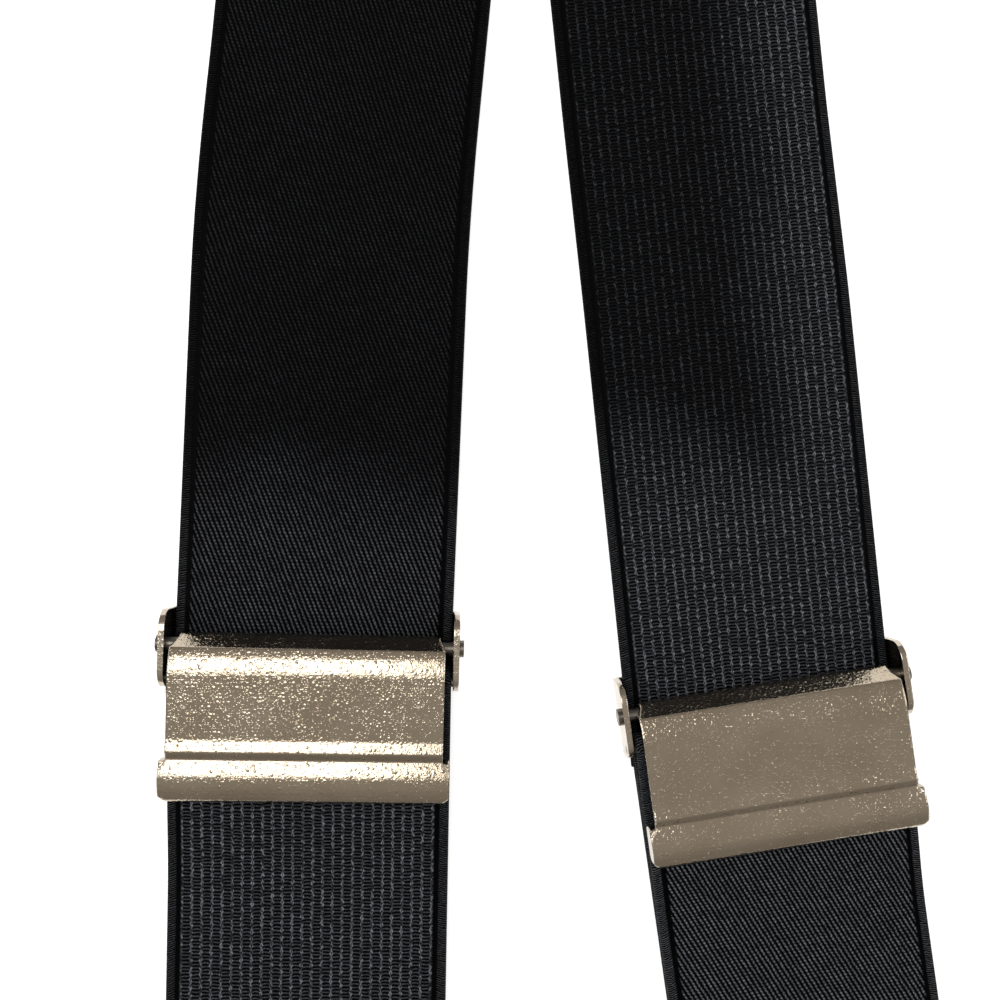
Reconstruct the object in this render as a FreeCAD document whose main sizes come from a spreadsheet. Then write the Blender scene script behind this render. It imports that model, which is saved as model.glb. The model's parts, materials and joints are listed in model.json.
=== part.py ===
import FreeCAD
import Part
import math
import os
from FreeCAD import Placement, Rotation, Vector

# X-back suspenders: two elastic straps, two lever adjusters, four trouser clips and a leather back patch.
#
# Millimetres. The suspenders lie opened out on a flat surface, front clips towards -Y and rear clips
# towards +Y, outer faces up. The origin is the centre of the crossing patch's underside.

doc = FreeCAD.newDocument("Suspenders")
sheet = doc.addObject("Spreadsheet::Sheet", "Sizes")

SIZES = {
    # webbing
    "strap_width": 38.0, "strap_thickness": 1.4, "strap_lift": 1.2, "layer_gap": 0.1,
    "strap_bend_radius": 1.0, "front_length": 120.0, "rear_length": 300.0, "fold_length": 32.0,
    "crossing_angle": 16.0, "travel_clearance": 7.0, "return_sewn_length": 17.0,
    # adjuster
    "base_gauge": 0.8, "base_inner_width": 38.5, "ear_above": 4.6, "ear_below": 5.9, "ear_height": 6.7,
    "ear_corner": 2.6, "pivot_height": 4.75, "pin_radius": 0.9, "pin_play": 0.05, "pin_head_radius": 1.15,
    "pin_head_length": 0.6, "bar_radius": 0.6, "bar_drop": 4.6, "bar_rise": 0.1, "bar_wrap_gap": 0.25,
    "lever_width": 36.3, "cam_width": 35.0, "cam_slope": 60.0, "lever_gauge": 1.0, "lever_length": 20.7,
    "lever_height": 8.85, "knuckle_radius": 1.6, "crease_drop": 14.6, "crease_depth": 0.35,
    "tab_inner_width": 36.5, "tab_gauge": 0.8, "tab_length": 4.7, "tab_depth": 2.7, "teeth": 23.0,
    "tooth_pitch": 1.5, "tooth_width": 0.8, "tooth_depth": 0.7, "tooth_reach": 2.07, "tooth_root": 0.3,
    # clips
    "clip_gauge": 1.0, "clip_bar_height": 2.75, "clip_bar_width": 1.4, "clip_head_width": 44.0,
    "clip_slot_width": 39.2, "clip_slot_height": 2.4, "clip_length": 37.0, "jaw_width": 29.0,
    "neck_width": 24.0, "clip_pin_drop": 17.0, "clip_pin_height": 4.35, "clip_lever_height": 7.3,
    "clip_knuckle_radius": 2.0, "clip_knuckle_width": 21.4, "clip_pin_length": 25.4,
    "pad_width": 22.0, "pad_length": 8.0, "pad_thickness": 1.2,
    # back patch
    "patch_thickness": 1.1, "patch_half_width": 31.0, "patch_half_height": 37.0, "patch_shoulder": 17.0,
    "stitch_length": 2.1, "stitch_pitch": 3.1, "stitch_radius": 0.28, "stitch_inset": 3.4,
}

for row, (alias, value) in enumerate(SIZES.items(), start=1):
    sheet.set("A%d" % row, alias)
    sheet.set("B%d" % row, str(value))
    sheet.setAlias("B%d" % row, alias)
doc.recompute()


def size(alias):
    return float(sheet.get(alias))


WIDTH = size("strap_width")
THICK = size("strap_thickness")
FLAT_LEVEL = size("strap_lift") + THICK / 2
RAISED_LEVEL = FLAT_LEVEL + THICK + size("layer_gap")
SIDE_PLANE = Rotation(Vector(0, 1, 0), Vector(0, 0, 1), Vector(1, 0, 0), "ZXY")
subparts = {}


# ---------------------------------------------------------------- shared shapes
def name_node(item, label, placement=None):
    """Registers a finished sub-part under its node name and puts it in the suspenders' frame."""
    item.Label = label
    if placement is not None:
        item.Placement = placement.multiply(item.Placement)
    subparts[label] = item
    return item


def rounded_edges(corners, closed=False):
    """Straight edges joined by tangent arcs. Each corner is (x, y, radius)."""
    count = len(corners)
    starts, ends, arcs = [], [], []
    for i, (x, y, radius) in enumerate(corners):
        here = Vector(x, y, 0)
        if radius <= 0 or (not closed and i in (0, count - 1)):
            starts.append(here)
            ends.append(here)
            arcs.append(None)
            continue
        back = (Vector(*corners[i - 1][:2], 0) - here).normalize()
        ahead = (Vector(*corners[(i + 1) % count][:2], 0) - here).normalize()
        half = back.getAngle(ahead) / 2
        reach = radius / math.tan(half)
        middle = (back + ahead).normalize() * (radius / math.sin(half) - radius)
        starts.append(here + back * reach)
        ends.append(here + ahead * reach)
        arcs.append(Part.Arc(starts[-1], here + middle, ends[-1]))
    edges = []
    for i in range(count):
        if arcs[i] is not None:
            edges.append(arcs[i])
        if i < count - 1 or closed:
            edges.append(Part.LineSegment(ends[i], starts[(i + 1) % count]))
    return edges


def sketch(name, edges, rotation=None):
    drawn = doc.addObject("Sketcher::SketchObject", name)
    drawn.addGeometry(edges, False)
    if rotation is not None:
        drawn.Placement = Placement(Vector(), rotation)
    return drawn


def extrude(name, base, direction, length):
    """Pulls a face both ways along a direction, to a length that the sheet gives."""
    pulled = doc.addObject("Part::Extrusion", name)
    pulled.Base = base
    pulled.DirMode = "Custom"
    pulled.Dir = direction
    pulled.Solid = True
    pulled.Symmetric = True
    pulled.setExpression("LengthFwd", length)
    return pulled


def bent_sheet(name, outer, gauge, width):
    """Sheet metal bent along an outer side line of (y, z, radius) corners. The gauge lies under it."""
    line = sketch(name + "_route", rounded_edges(outer), SIDE_PLANE)
    section = doc.addObject("Part::Offset2D", name + "_section")
    section.Source = line
    section.Mode = "Skin"
    section.Fill = True
    section.Join = "Intersection"
    section.setExpression("Value", gauge)
    return extrude(name + "_sheet", section, Vector(1, 0, 0), width)


def side_plate(name, corners, gauge):
    """A flat plate whose silhouette lies in the YZ plane."""
    outline = sketch(name + "_outline", rounded_edges(corners, closed=True), SIDE_PLANE)
    return extrude(name, outline, Vector(1, 0, 0), gauge)


def plan_block(name, outlines, height):
    """A block whose silhouette lies in the XY plane. Later outlines are holes in the first."""
    edges = [edge for outline in outlines for edge in rounded_edges(outline, closed=True)]
    return extrude(name, sketch(name + "_outline", edges), Vector(0, 0, 1), height)


def boolean(kind, name, *parts):
    result = doc.addObject("Part::" + kind, name)
    if kind == "Cut":
        result.Base, result.Tool = parts
    else:
        result.Shapes = list(parts)
    return result


def rod(name, radius, length, y, z):
    """A round bar along X, centred on x = 0."""
    bar = doc.addObject("Part::Cylinder", name)
    bar.setExpression("Radius", radius)
    bar.setExpression("Height", length)
    doc.recompute()
    bar.Placement = Placement(Vector(-bar.Height.Value / 2, y, z), Rotation(Vector(0, 1, 0), 90))
    return bar


def block(name, low, high):
    box = doc.addObject("Part::Box", name)
    box.Length, box.Width, box.Height = [high[i] - low[i] for i in range(3)]
    box.Placement.Base = Vector(*low)
    return box


# ---------------------------------------------------------------- where the straps run
class StrapRoute:
    """A strap's centreline in plan. s is the distance from the adjuster's pivot, growing to the rear.

    Headings are degrees from +Y towards +X. Each run is (length, turn).
    """

    def __init__(self, x, y, heading, runs):
        self.pieces = []
        distance = 0.0
        for length, turn in runs:
            self.pieces.append((distance, length, x, y, heading, math.radians(turn) / length))
            x, y, heading = self.step(self.pieces[-1], length)
            distance += length
        self.pieces.append((distance, 1e9, x, y, heading, 0.0))

    @staticmethod
    def step(piece, travelled):
        _, _, x, y, heading, bend = piece
        start = math.radians(heading)
        if abs(bend) < 1e-9:
            return x + travelled * math.sin(start), y + travelled * math.cos(start), heading
        turned = start + bend * travelled
        x += (math.cos(start) - math.cos(turned)) / bend
        y += (math.sin(turned) - math.sin(start)) / bend
        return x, y, math.degrees(turned)

    def at(self, s):
        """The centreline's x, y and heading at s."""
        piece = [p for p in self.pieces if p[0] <= s or p is self.pieces[0]][-1]
        return self.step(piece, s - piece[0])

    def frame(self, s):
        """A placement whose +Y runs along the strap at s."""
        x, y, heading = self.at(s)
        return Placement(Vector(x, y, 0), Rotation(Vector(0, 0, 1), -heading))

    def shifted(self, dx, dy):
        moved_route = StrapRoute(0, 0, 0, [(1, 0)])
        moved_route.pieces = [(s, n, x + dx, y + dy, a, b) for s, n, x, y, a, b in self.pieces]
        return moved_route


def crossing(first, second):
    """Where the last straight runs of two routes cross, and how far along each that is."""
    _, _, ax, ay, a, _ = first.pieces[-1]
    _, _, bx, by, b, _ = second.pieces[-1]
    a, b = math.radians(a), math.radians(b)
    determinant = math.sin(b) * math.cos(a) - math.cos(b) * math.sin(a)
    along = ((bx - ax) * -math.cos(b) + (by - ay) * math.sin(b)) / determinant
    along_second = ((bx - ax) * -math.cos(a) + (by - ay) * math.sin(a)) / determinant
    spot = Vector(ax + along * math.sin(a), ay + along * math.cos(a), 0)
    return spot, first.pieces[-1][0] + along, second.pieces[-1][0] + along_second


# The left strap leans 2.4 degrees inwards at its adjuster and the right one 6. Above, both swing
# parallel, then turn in to cross at the back, each at the crossing angle to the centre line.
LAST_TURN = size("crossing_angle") + 0.8
left_runs = [(47, 0), (28, 3.2), (30, 0), (70, -6.4), (90, 0), (150, LAST_TURN)]
right_runs = [(105, 0), (70, 6.8), (97, 0), (150, -LAST_TURN)]
layout = {
    "left": StrapRoute(-25.7, -19.8, 2.4, left_runs),
    "right": StrapRoute(36.5, -27.0, -6.0, right_runs),
}
centre, left_cross, right_cross = crossing(layout["left"], layout["right"])
route = {side: layout[side].shifted(-centre.x, -centre.y) for side in layout}
cross_at = {"left": left_cross, "right": right_cross}
# Below the adjusters the doubled straps take their own headings, and each adjuster sits a little askew.
loop_heading = {"left": 1.0, "right": -8.2}
adjuster_heading = {"left": 1.5, "right": -8.2}
loop_route = {side: StrapRoute(*route[side].at(0)[:2], loop_heading[side], []) for side in route}


# ---------------------------------------------------------------- webbing
def ribbon(label, path, profile):
    """A flat strap that follows a plan route. The profile is its centreline as (s, z) stations."""
    stations = [profile[0]]
    for start, end in zip(profile, profile[1:]):
        steps = max(1, math.ceil(abs(end[0] - start[0]) / 12.0))
        for i in range(1, steps + 1):
            stations.append(tuple(a + (b - a) * i / steps for a, b in zip(start, end)))
    sections = []
    for i, (s, z) in enumerate(stations):
        before = stations[max(i - 1, 0)]
        after = stations[min(i + 1, len(stations) - 1)]
        slope = Vector(after[0] - before[0], after[1] - before[1], 0).normalize()
        place = path.frame(s)
        lift = place.Rotation.multVec(Vector(0, -slope.y, slope.x)) * (THICK / 2)
        across = place.Rotation.multVec(Vector(WIDTH / 2, 0, 0))
        middle = place.Base + Vector(0, 0, z)
        corners = [middle - across - lift, middle + across - lift,
                   middle + across + lift, middle - across + lift]
        sections.append(Part.makePolygon(corners + corners[:1]))
    strap = doc.addObject("Part::Feature", label)
    strap.Shape = Part.makeLoft(sections, True, True)
    return name_node(strap, label)


def bend_stations(s, z, radius, start, sweep, steps=10):
    """Stations round a bar at (s, z). Angles are degrees, from +s towards +z."""
    angles = [math.radians(start + sweep * i / steps) for i in range(steps + 1)]
    return [(s + radius * math.cos(a), z + radius * math.sin(a)) for a in angles]


LOOP_RADIUS = size("strap_bend_radius") + THICK / 2
CLIP_BAR = size("clip_bar_height")
UNDER = CLIP_BAR - LOOP_RADIUS
OVER = CLIP_BAR + LOOP_RADIUS
FRONT_BAR = -size("front_length")
RUN_END = FRONT_BAR + 3.0
PIVOT = size("pivot_height")
BAR_AT = -size("bar_drop")
BAR_LEVEL = PIVOT + size("bar_rise")
SEWN_GAP = size("layer_gap") * 1.5
STITCH_LIFT = size("stitch_radius") + 0.02
SEAM_HALF_WIDTH = 16
RETURN_SEAMS = (-12.5, -15.5)
REAR_SEAMS = (-16, -28)


def main_strap(side, over):
    """The long strap from under the adjuster, across the back, to its sewn fold round the rear clip."""
    middle = cross_at[side]
    bar = middle + size("rear_length")
    profile = [(-size("travel_clearance"), FLAT_LEVEL)]
    if over:
        raised = [(middle - 215, FLAT_LEVEL), (middle - 175, RAISED_LEVEL),
                  (middle + 85, RAISED_LEVEL), (middle + 125, FLAT_LEVEL)]
        profile += raised
    sewn = UNDER + THICK + SEWN_GAP
    profile += [(bar - 48, FLAT_LEVEL), (bar - 36, sewn), (bar - 12, sewn), (bar - 4, OVER)]
    profile += bend_stations(bar, CLIP_BAR, LOOP_RADIUS, 90, -180)
    profile += [(bar - 6, UNDER), (bar - size("fold_length"), UNDER)]
    return ribbon("strap_" + side, route[side], profile)


def front_loop(side):
    """The doubled strap below the adjuster: the run behind, the turn in the clip and the return in front."""
    path = loop_route[side]
    ribbon("lower_run_" + side, path,
           [(-size("travel_clearance") - 1.0, FLAT_LEVEL), (FRONT_BAR + 28, FLAT_LEVEL),
            (RUN_END + 4, UNDER), (RUN_END, UNDER)])
    ribbon("clip_turn_" + side, path,
           [(RUN_END, UNDER)] + bend_stations(FRONT_BAR, CLIP_BAR, LOOP_RADIUS, -90, -180)
           + [(RUN_END, OVER)])
    outer = RAISED_LEVEL + THICK + size("layer_gap")
    loop = size("bar_radius") + size("bar_wrap_gap") + THICK / 2
    sewn_end = -size("return_sewn_length")
    ribbon("return_run_" + side, path,
           [(RUN_END, OVER), (RUN_END + 4, OVER), (FRONT_BAR + 28, RAISED_LEVEL),
            (sewn_end - 10, RAISED_LEVEL), (sewn_end - 2, outer), (-9.5, outer),
            (-7, BAR_LEVEL + loop - 0.35)]
           + bend_stations(BAR_AT, BAR_LEVEL, loop, 90, -180)
           + [(-7.5, RAISED_LEVEL), (sewn_end, RAISED_LEVEL)])


def stitch_row(label, spots, level, placement=None):
    """A group of short thread stitches. Each spot is (x, y, direction in degrees)."""
    solids = []
    long = size("stitch_length")
    for x, y, angle in spots:
        along = Vector(math.cos(math.radians(angle)), math.sin(math.radians(angle)), 0)
        start = Vector(x, y, level) - along * (long / 2)
        solids.append(Part.makeCylinder(size("stitch_radius"), long, start, along))
    row = doc.addObject("Part::Feature", label)
    row.Shape = Part.makeCompound(solids)
    return name_node(row, label, placement)


def cross_row(y, half_width):
    pitch = size("stitch_pitch")
    count = int(2 * half_width / pitch)
    return [((i - count / 2) * pitch, y, 0) for i in range(count + 1)]


# ---------------------------------------------------------------- adjuster
def adjuster(side):
    """A stamped base with two ears, a toothed lever on its pin, and the bar that holds the sewn end."""
    place = Placement(loop_route[side].frame(0).Base, Rotation(Vector(0, 0, 1), -adjuster_heading[side]))
    inner = size("base_inner_width") / 2
    gauge = size("base_gauge")
    tall = size("ear_height")
    through = "Sizes.base_inner_width + Sizes.base_gauge * 2"
    past_ears = "Sizes.base_inner_width + Sizes.base_gauge * 6"

    # base: one stamping, a plate behind the strap with an ear folded up at each side
    channel = [(-inner - gauge, tall, 0), (-inner - gauge, 0, 1.3), (inner + gauge, 0, 1.3),
               (inner + gauge, tall, 0), (inner, tall, 0), (inner, gauge, 0.3),
               (-inner, gauge, 0.3), (-inner, tall, 0)]
    upright = Rotation(Vector(1, 0, 0), 90)
    section = sketch("channel_" + side, rounded_edges(channel, closed=True), upright)
    trough = extrude("trough_" + side, section, Vector(0, 1, 0), "Sizes.ear_above * 2 + Sizes.ear_below * 2")
    corner = size("ear_corner")
    profile = side_plate("ear_shape_" + side,
                         [(-size("ear_below"), 0, 0), (size("ear_above"), 0, 0),
                          (size("ear_above"), tall, corner), (-size("ear_below"), tall, corner)],
                         "Sizes.base_inner_width + Sizes.base_gauge * 4")
    stamped = boolean("MultiCommon", "stamped_" + side, trough, profile)
    bore = rod("pin_bore_" + side, "Sizes.pin_radius + Sizes.pin_play", past_ears, 0, PIVOT)
    bar_bore = rod("bar_bore_" + side, "Sizes.bar_radius", past_ears, BAR_AT, BAR_LEVEL)
    drilled = boolean("Cut", "drilled_" + side, stamped, bore)
    name_node(boolean("Cut", "base_" + side, drilled, bar_bore), "adjuster_base_" + side, place)

    # pin, riveted over outside both ears
    span = inner * 2 + gauge * 2
    shaft = rod("shaft_" + side, "Sizes.pin_radius", through, 0, PIVOT)
    heads = []
    for end in (-1, 1):
        head = rod("rivet_%s_%s" % (side, "near" if end < 0 else "far"),
                   "Sizes.pin_head_radius", "Sizes.pin_head_length", 0, PIVOT)
        head.Placement.Base.x += end * (span + size("pin_head_length")) / 2
        heads.append(head)
    name_node(boolean("MultiFuse", "pin_" + side, shaft, *heads), "adjuster_pin_" + side, place)
    return_bar = rod("bar_" + side, "Sizes.bar_radius", through, BAR_AT, BAR_LEVEL)
    name_node(return_bar, "return_bar_" + side, place)

    # lever: a narrow cam folded down onto a barrel, a wider flat plate, a pressed crease, then a bulged lip
    top = size("lever_height")
    crease = -size("crease_drop")
    tip = -size("lever_length")
    slope = math.radians(size("cam_slope"))
    knuckle = size("knuckle_radius")
    leaves = (knuckle * math.sin(slope), PIVOT + knuckle * math.cos(slope), 0)
    fold = (0.0, leaves[1] + leaves[0] * math.tan(slope), 0.35)
    line = [leaves, fold, (-1.9, top, 7.4), (crease + 2.6, top - 0.05, 3.0),
            (crease + 1.0, top + 0.25, 0.5), (crease, top - size("crease_depth"), 0.35),
            (crease - 1.0, top - 0.05, 1.0), (crease - 3.1, top + 0.35, 5.0), (tip + 0.5, top - 0.5, 1.2),
            (tip, top - 2.2, 0)]
    blank = bent_sheet("lever_plate_" + side, line, "-Sizes.lever_gauge",
                       "Sizes.tab_inner_width + Sizes.tab_gauge * 2")
    half_cam = size("cam_width") / 2
    half_lever = size("lever_width") / 2
    half_lip = size("tab_inner_width") / 2 + size("tab_gauge")
    outline = [(half_cam, 3.0, 0), (half_cam, 1.1, 0.2), (half_lever, 0.1, 0.5),
               (half_lever, crease - 0.3, 0.3), (half_lip, crease - 1.2, 0.5), (half_lip, tip + 1.2, 0.3),
               (half_lip - 1.6, tip - 0.1, 0.3)]
    plan = plan_block("lever_plan_" + side, [outline + [(-x, y, r) for x, y, r in reversed(outline)]],
                      "Sizes.lever_length * 2")
    plate = boolean("MultiCommon", "lever_cut_out_" + side, blank, plan)
    barrel = rod("barrel_" + side, "Sizes.knuckle_radius", "Sizes.cam_width", 0, PIVOT)
    teeth = []
    half_tooth = size("tooth_width") / 2
    half_deep = size("tooth_depth") / 2
    tooth_low = PIVOT - size("tooth_reach")
    tooth_high = PIVOT - knuckle + size("tooth_root")
    for i in range(int(size("teeth"))):
        middle = (i - (size("teeth") - 1) / 2) * size("tooth_pitch")
        teeth.append(block("tooth_%s_%d" % (side, i), (middle - half_tooth, -half_deep, tooth_low),
                           (middle + half_tooth, half_deep, tooth_high)))
    tabs = []
    for end in (-1, 1):
        tab_low = top - size("tab_depth")
        tab_back = tip + 1.2 + size("tab_length")
        tab = side_plate("tab_%s_%s" % (side, "near" if end < 0 else "far"),
                         [(tip + 1.2, tab_low, 0.7), (tab_back, tab_low, 0.7), (tab_back, top - 0.3, 0.2),
                          (tip + 3.0, top - 0.35, 0.6), (tip + 1.2, top - 1.0, 0.4)],
                         "Sizes.tab_gauge")
        tab.Placement.Base.x = end * (size("tab_inner_width") + size("tab_gauge")) / 2
        tabs.append(tab)
    body = boolean("MultiFuse", "lever_body_" + side, plate, barrel, *teeth, *tabs)
    lever_bore = rod("lever_bore_" + side, "Sizes.pin_radius + Sizes.pin_play", "Sizes.base_inner_width",
                     0, PIVOT)
    name_node(boolean("Cut", "lever_" + side, body, lever_bore), "adjuster_lever_" + side, place)
    sewn_top = RAISED_LEVEL + THICK * 1.5 + size("layer_gap")
    stitch_row("return_stitching_" + side,
               [spot for y in RETURN_SEAMS for spot in cross_row(y, SEAM_HALF_WIDTH)],
               sewn_top + STITCH_LIFT, place)


# ---------------------------------------------------------------- trouser clips
def clip(prefix, place):
    """A trouser clip hung on the strap's fold. Its frame's origin is below the slot's bar, jaw to -Y."""
    gauge = size("clip_gauge")
    bar = size("clip_bar_width") / 2
    length = size("clip_length")
    half_jaw = size("jaw_width") / 2
    half_neck = size("neck_width") / 2
    half_head = size("clip_head_width") / 2
    half_slot = size("clip_slot_width") / 2
    slot_end = -bar - size("clip_slot_height")
    upper = CLIP_BAR + gauge / 2
    pin_y = -size("clip_pin_drop")
    pin_z = size("clip_pin_height")

    # base: slotted head, joggled down to a jaw plate that lies flat, an ear at each side of the neck
    line = [(bar, upper, 0), (-7.0, upper, 1.5), (-11.0, gauge, 1.5), (-length, gauge, 0)]
    plate = bent_sheet(prefix + "_base", line, "-Sizes.clip_gauge", "Sizes.clip_head_width")
    outline = [(half_head, bar, 1.6), (half_head, slot_end - 1.8, 1.6), (half_neck, -10.5, 3.0),
               (half_neck, -22.5, 3.0), (half_jaw, -27.0, 3.0), (half_jaw, -length, 5.5)]
    mirrored = [(-x, y, r) for x, y, r in reversed(outline)]
    slot = [(half_slot, -bar, 0.4), (half_slot, slot_end, 0.6), (-half_slot, slot_end, 0.6),
            (-half_slot, -bar, 0.4)]
    silhouette = plan_block(prefix + "_plan", [outline + mirrored, slot], "Sizes.clip_length")
    blank = boolean("MultiCommon", prefix + "_blank", plate, silhouette)
    ears = []
    for end in (-1, 1):
        ear = side_plate("%s_ear_%s" % (prefix, "near" if end < 0 else "far"),
                         [(pin_y - 3.4, 0.1, 0), (pin_y + 3.4, 0.1, 0), (pin_y + 2.4, pin_z + 2.0, 1.8),
                          (pin_y - 2.4, pin_z + 2.0, 1.8)], "Sizes.clip_gauge")
        ear.Placement.Base.x = end * (half_neck - gauge / 2)
        ears.append(ear)
    folded = boolean("MultiFuse", prefix + "_folded", blank, *ears)
    bore = rod(prefix + "_bore", "Sizes.pin_radius + Sizes.pin_play", "Sizes.neck_width + 6", pin_y, pin_z)
    name_node(boolean("Cut", prefix + "_cut", folded, bore), prefix + "_base", place)
    name_node(rod(prefix + "_pin", "Sizes.pin_radius", "Sizes.clip_pin_length", pin_y, pin_z),
              prefix + "_pin", place)

    # cover: a barrel on the pin, a domed cover, and a toothed edge turned down onto the pad
    top = size("clip_lever_height")
    cover_line = [(pin_y + 1.0, pin_z + 1.7, 0), (pin_y - 1.0, pin_z + 2.3, 1.5),
                  (pin_y - 7.0, top, 12.0), (-length + 3.0, top - 0.5, 3.0), (-length + 0.7, 4.2, 1.6),
                  (-length + 1.2, 2.55, 0)]
    cover = bent_sheet(prefix + "_cover", cover_line, "-Sizes.clip_gauge", "Sizes.jaw_width")
    half_inner = half_neck - gauge - 0.3
    shape = [(half_inner, pin_y + 3, 0), (half_inner, -22.0, 2.0), (half_jaw, -26.5, 3.0),
             (half_jaw, -length - 1.0, 5.0)]
    cover_plan = plan_block(prefix + "_cover_plan", [shape + [(-x, y, r) for x, y, r in reversed(shape)]],
                            "Sizes.clip_length")
    shell = boolean("MultiCommon", prefix + "_shell", cover, cover_plan)
    barrel = rod(prefix + "_barrel", "Sizes.clip_knuckle_radius", "Sizes.clip_knuckle_width", pin_y, pin_z)
    notches = [block("%s_notch_%d" % (prefix, i), (i * 2.4 - 0.5, -length - 0.5, 2.0),
                     (i * 2.4 + 0.5, -length + 2.4, 3.2)) for i in range(-4, 5)]
    joined = boolean("MultiFuse", prefix + "_joined", shell, barrel)
    cutters = boolean("MultiFuse", prefix + "_cutters",
                      rod(prefix + "_lever_bore", "Sizes.pin_radius + Sizes.pin_play",
                          "Sizes.neck_width", pin_y, pin_z), *notches)
    name_node(boolean("Cut", prefix + "_lever_cut", joined, cutters), prefix + "_lever", place)

    # grip pad: ribbed plastic on the jaw plate, under the cover's teeth
    half_pad = size("pad_width") / 2
    pad_end = -length + 0.6
    thick = size("pad_thickness")
    ridge = size("pad_length") / 4
    corners = [(pad_end, gauge, 0)]
    for i in range(4):
        corners += [(pad_end + ridge * i + 0.2, gauge + thick, 0.15),
                    (pad_end + ridge * (i + 1) - 0.7, gauge + thick, 0.15),
                    (pad_end + ridge * (i + 1) - 0.3, gauge + thick * 0.55, 0.1)]
    corners += [(pad_end + ridge * 4, gauge, 0)]
    pad = extrude(prefix + "_pad_pull", sketch(prefix + "_pad_side", rounded_edges(corners, closed=True),
                                               SIDE_PLANE), Vector(1, 0, 0), "Sizes.pad_width")
    pad_plan = plan_block(prefix + "_pad_plan",
                          [[(half_pad, pad_end + 9, 1.0), (half_pad, pad_end, 3.0),
                            (-half_pad, pad_end, 3.0), (-half_pad, pad_end + 9, 1.0)]], "Sizes.clip_length")
    name_node(boolean("MultiCommon", prefix + "_pad_cut", pad, pad_plan), prefix + "_pad", place)


# ---------------------------------------------------------------- back patch
def patch_outline(inset=0.0):
    """A long hexagon with its points on the suspenders' centre line."""
    wide = size("patch_half_width") - inset
    tall = size("patch_half_height") - inset * 1.15
    shoulder = size("patch_shoulder") - inset * 0.45
    return [(0, tall), (wide, shoulder), (wide, -shoulder), (0, -tall), (-wide, -shoulder), (-wide, shoulder)]


def back_patch():
    corners = [(x, y, 4.0) for x, y in patch_outline()]
    thickness = size("patch_thickness")
    top_level = RAISED_LEVEL + THICK / 2 + size("layer_gap")
    for label, level in (("patch_bottom", 0.0), ("patch_top", top_level)):
        leather = extrude(label, sketch(label + "_outline", rounded_edges(corners, closed=True)),
                          Vector(0, 0, 1), "Sizes.patch_thickness")
        name_node(leather, label, Placement(Vector(0, 0, level + thickness / 2), Rotation()))
    spots = []
    inset = patch_outline(size("stitch_inset"))
    for start, end in zip(inset, inset[1:] + inset[:1]):
        run = Vector(end[0] - start[0], end[1] - start[1], 0)
        count = int(run.Length / size("stitch_pitch"))
        heading = math.degrees(math.atan2(run.y, run.x))
        for i in range(count):
            share = (i + 0.5) / count
            spots.append((start[0] + run.x * share, start[1] + run.y * share, heading))
    stitch_row("patch_stitching", spots, top_level + thickness + STITCH_LIFT)


# ---------------------------------------------------------------- the whole
for side in ("left", "right"):
    main_strap(side, over=side == "left")
    front_loop(side)
    adjuster(side)
    clip("front_clip_" + side, loop_route[side].frame(FRONT_BAR))
    rear_bar = cross_at[side] + size("rear_length")
    about = Placement(Vector(), Rotation(Vector(0, 0, 1), 180))
    clip("rear_clip_" + side, route[side].frame(rear_bar).multiply(about))
    sewn_top = UNDER + THICK * 1.5 + SEWN_GAP
    stitch_row("rear_stitching_" + side,
               [spot for y in REAR_SEAMS for spot in cross_row(y, SEAM_HALF_WIDTH)],
               sewn_top + STITCH_LIFT, route[side].frame(rear_bar))
back_patch()
doc.recompute()

for item in doc.Objects:
    if "Invalid" in item.State or "Error" in item.State:
        raise RuntimeError("%s did not build: %s" % (item.Name, item.State))
os.makedirs("parts", exist_ok=True)
for label, item in subparts.items():
    shape = item.Shape
    if shape.isNull() or not shape.isValid():
        raise RuntimeError(label + " has no valid shape")
    shape.exportStep("parts/%s.step" % label)
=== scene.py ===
"""X-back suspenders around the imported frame: woven straps, nickel adjusters and clips, a leather patch."""
import json
import math

import bpy
from mathutils import Matrix, Vector


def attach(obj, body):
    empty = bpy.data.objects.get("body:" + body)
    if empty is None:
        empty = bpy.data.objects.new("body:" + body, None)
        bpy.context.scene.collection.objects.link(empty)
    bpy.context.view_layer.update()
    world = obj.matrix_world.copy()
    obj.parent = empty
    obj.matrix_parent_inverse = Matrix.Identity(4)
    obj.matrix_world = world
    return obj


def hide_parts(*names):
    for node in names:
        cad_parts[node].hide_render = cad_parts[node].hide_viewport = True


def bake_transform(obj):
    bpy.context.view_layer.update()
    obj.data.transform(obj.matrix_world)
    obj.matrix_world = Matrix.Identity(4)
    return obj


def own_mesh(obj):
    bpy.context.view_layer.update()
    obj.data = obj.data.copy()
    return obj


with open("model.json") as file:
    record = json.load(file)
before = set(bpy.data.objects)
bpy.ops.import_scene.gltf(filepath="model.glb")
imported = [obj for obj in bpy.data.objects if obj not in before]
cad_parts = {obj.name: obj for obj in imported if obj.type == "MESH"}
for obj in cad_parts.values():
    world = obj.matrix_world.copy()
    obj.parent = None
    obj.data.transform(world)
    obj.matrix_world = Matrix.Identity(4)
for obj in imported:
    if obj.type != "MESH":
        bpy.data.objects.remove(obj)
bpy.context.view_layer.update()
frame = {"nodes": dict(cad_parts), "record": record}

MM = 0.001
SIDES = ("left", "right")
joints = {joint["name"]: joint for joint in frame["record"]["behaviour"]["joints"]}

# ------------------------------------------------------------------ sizes, in millimetres
# A place along a strap is its distance from the adjuster's pivot, and a level is a height above the floor.

# the webbing, and its weave
WIDTH = 38.0
HALF = WIDTH / 2
THICK = 1.4
SELVAGE = 1.25
GROOVE = 0.75
GROOVE_DEPTH = 0.34
RIB_PITCH = 1.35
RIB_DEPTH = 0.11
TWILL_DEPTH = 0.03
PICK = 0.475

# the middle of the strap: one layer, over another layer, and how far it sinks between its supports
FLAT_LEVEL = 1.9
RAISED_LEVEL = 3.4
SAG = 1.0

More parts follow.
